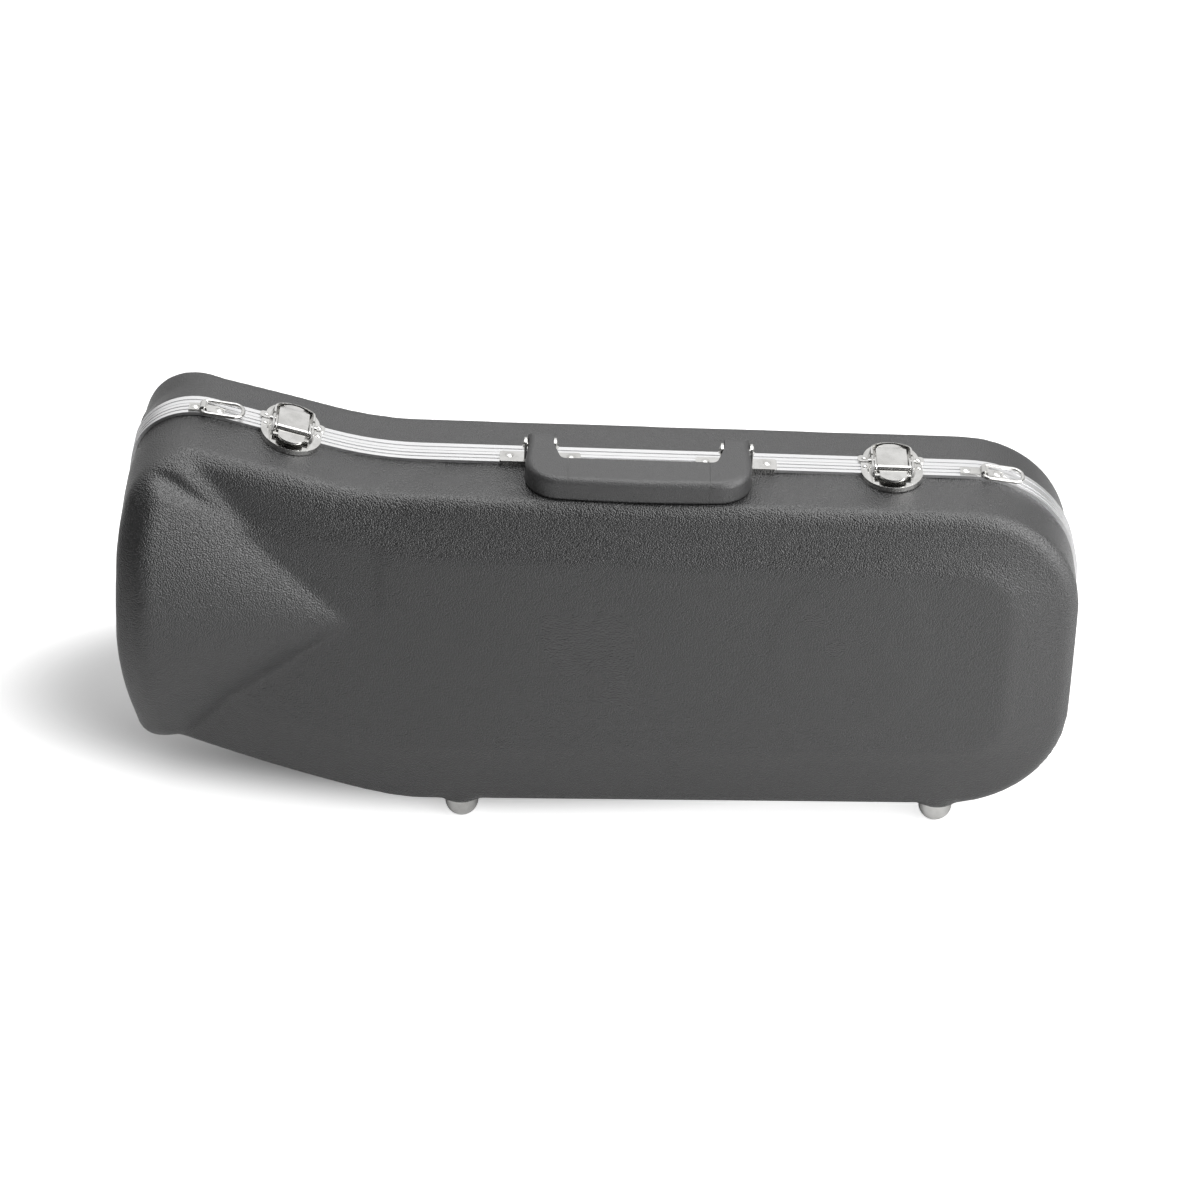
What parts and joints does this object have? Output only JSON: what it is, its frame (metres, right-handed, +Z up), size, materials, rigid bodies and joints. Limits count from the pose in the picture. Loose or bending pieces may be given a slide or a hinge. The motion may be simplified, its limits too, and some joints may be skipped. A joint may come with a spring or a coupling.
{
  "type": "trumpet case",
  "caption": "Contoured hard trumpet case with moulded shells in aluminium rims, hinged lid, draw latches, swinging handle, strap rings, domed feet and a padded fitted lining.",
  "frame": {"origin": "middle of the bounding box on the plane the feet stand on", "axes": "+X along the case from the bell end to the narrow end, +Y from the base half to the lid half, +Z up"},
  "size_m": [0.5753, 0.1666, 0.2762],
  "materials": {
    "shell": "moulded black plastic with a fine pebble grain",
    "rim": "satin extruded aluminium with fine grooves",
    "plating": "bright nickel plating",
    "hinge_steel": "plated sheet steel",
    "handle": "dark plastic, lightly textured",
    "grip": "dark plastic sleeve, lightly textured",
    "lining": "black plush over foam",
    "foam": "black plush over a foam block"
  },
  "bodies": {
    "base": {"base_shell": "shell", "base_rim": "rim", "base_lining": "lining", "mouthpiece_block": "foam", "base_feet": "plating", "handle_bracket_left": "plating", "handle_bracket_right": "plating", "bracket_rivets": "plating", "handle_pin_left": "plating", "handle_pin_right": "plating", "latch_left_plate": "plating", "latch_right_plate": "plating", "latch_left_lever_pins": "plating", "latch_right_lever_pins": "plating", "latch_plate_rivets": "plating", "ring_left_clip": "plating", "ring_right_clip": "plating", "clip_rivets": "plating", "hinge_1_base_leaf": "hinge_steel", "hinge_2_base_leaf": "hinge_steel", "hinge_3_base_leaf": "hinge_steel", "hinge_1_pin": "hinge_steel", "hinge_2_pin": "hinge_steel", "hinge_3_pin": "hinge_steel", "base_hinge_rivets": "hinge_steel"},
    "lid": {"lid_shell": "shell", "lid_rim": "rim", "lid_lining": "lining", "lid_feet": "plating", "latch_left_strike": "plating", "latch_right_strike": "plating", "strike_rivets": "plating", "hinge_1_lid_leaf": "hinge_steel", "hinge_2_lid_leaf": "hinge_steel", "hinge_3_lid_leaf": "hinge_steel", "lid_hinge_rivets": "hinge_steel"},
    "handle": {"handle_frame": "handle", "handle_grip": "grip"},
    "left_lever": {"latch_left_lever": "plating", "latch_left_hasp_pin": "plating"},
    "left_hasp": {"latch_left_hasp": "plating"},
    "right_lever": {"latch_right_lever": "plating", "latch_right_hasp_pin": "plating"},
    "right_hasp": {"latch_right_hasp": "plating"},
    "left_ring": {"ring_left": "plating"},
    "right_ring": {"ring_right": "plating"}
  },
  "joints": [
    {"name": "lid_hinge", "type": "hinge", "parent": "base", "child": "lid", "pos_m": [0, 0.01055, 0.011], "axis": [-1, 0, 0], "range_deg": [0, 100]},
    {"name": "handle_swing", "type": "hinge", "parent": "base", "child": "handle", "pos_m": [0.02191, 0.0064, 0.24758], "axis": [-0.9997, 0, 0.0251], "range_deg": [0, 175]},
    {"name": "left_lever_turn", "type": "hinge", "parent": "base", "child": "left_lever", "pos_m": [-0.18167, 0.0068, 0.26213], "axis": [-0.9575, 0, 0.2884], "range_deg": [0, 130]},
    {"name": "left_hasp_turn", "type": "hinge", "parent": "left_lever", "child": "left_hasp", "pos_m": [-0.18167, -0.0006, 0.26213], "axis": [-0.9575, 0, 0.2884], "range_deg": [-150, 0]},
    {"name": "right_lever_turn", "type": "hinge", "parent": "base", "child": "right_lever", "pos_m": [0.17212, 0.0068, 0.2399], "axis": [-0.9997, 0, 0.0251], "range_deg": [0, 130]},
    {"name": "right_hasp_turn", "type": "hinge", "parent": "right_lever", "child": "right_hasp", "pos_m": [0.17212, -0.0006, 0.2399], "axis": [-0.9997, 0, 0.0251], "range_deg": [-150, 0]},
    {"name": "left_ring_swing", "type": "hinge", "parent": "base", "child": "left_ring", "pos_m": [-0.2338, 0.0054, 0.27399], "axis": [0, -1, 0], "range_deg": [0, 135]},
    {"name": "right_ring_swing", "type": "hinge", "parent": "base", "child": "right_ring", "pos_m": [0.22679, 0.0054, 0.23456], "axis": [0, -1, 0], "range_deg": [0, 135]}
  ],
  "couplings": [
    {"joint": "left_hasp_turn", "follows": "left_lever_turn", "ratio": -1.15},
    {"joint": "right_hasp_turn", "follows": "right_lever_turn", "ratio": -1.15}
  ]
}
